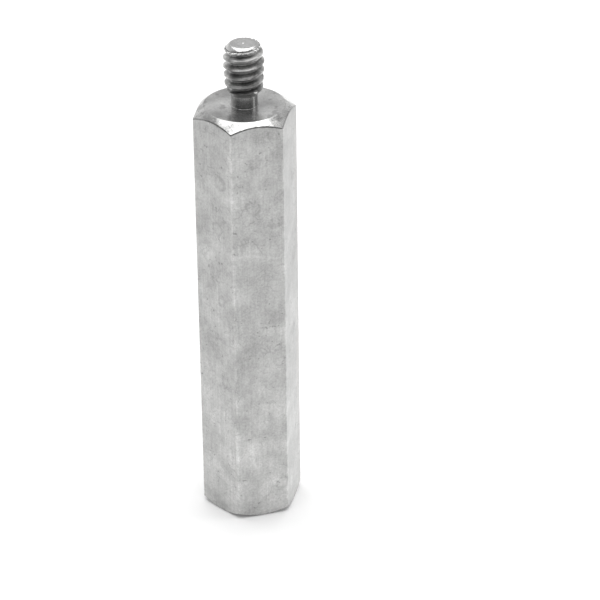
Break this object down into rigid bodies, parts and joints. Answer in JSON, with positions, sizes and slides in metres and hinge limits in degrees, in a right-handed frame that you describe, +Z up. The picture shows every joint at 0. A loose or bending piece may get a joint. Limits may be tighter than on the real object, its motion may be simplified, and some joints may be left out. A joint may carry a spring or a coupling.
{
  "type": "male-female hex standoff",
  "caption": "Hexagonal spacer with a threaded stud on its upper end and a tapped blind hole in its lower end.",
  "frame": {"origin": "centre of the lower end face, around the tapped hole's mouth", "axes": "+Z up along the axis, from the tapped hole to the stud; one flat of the hexagon faces -Y; two corners lie on X"},
  "size_m": [0.0074, 0.0064, 0.0363],
  "materials": {
    "metal": "plated, satin flats, clouded and stained, with bright turned ends"
  },
  "bodies": {
    "root": {"standoff": "metal"}
  },
  "joints": []
}
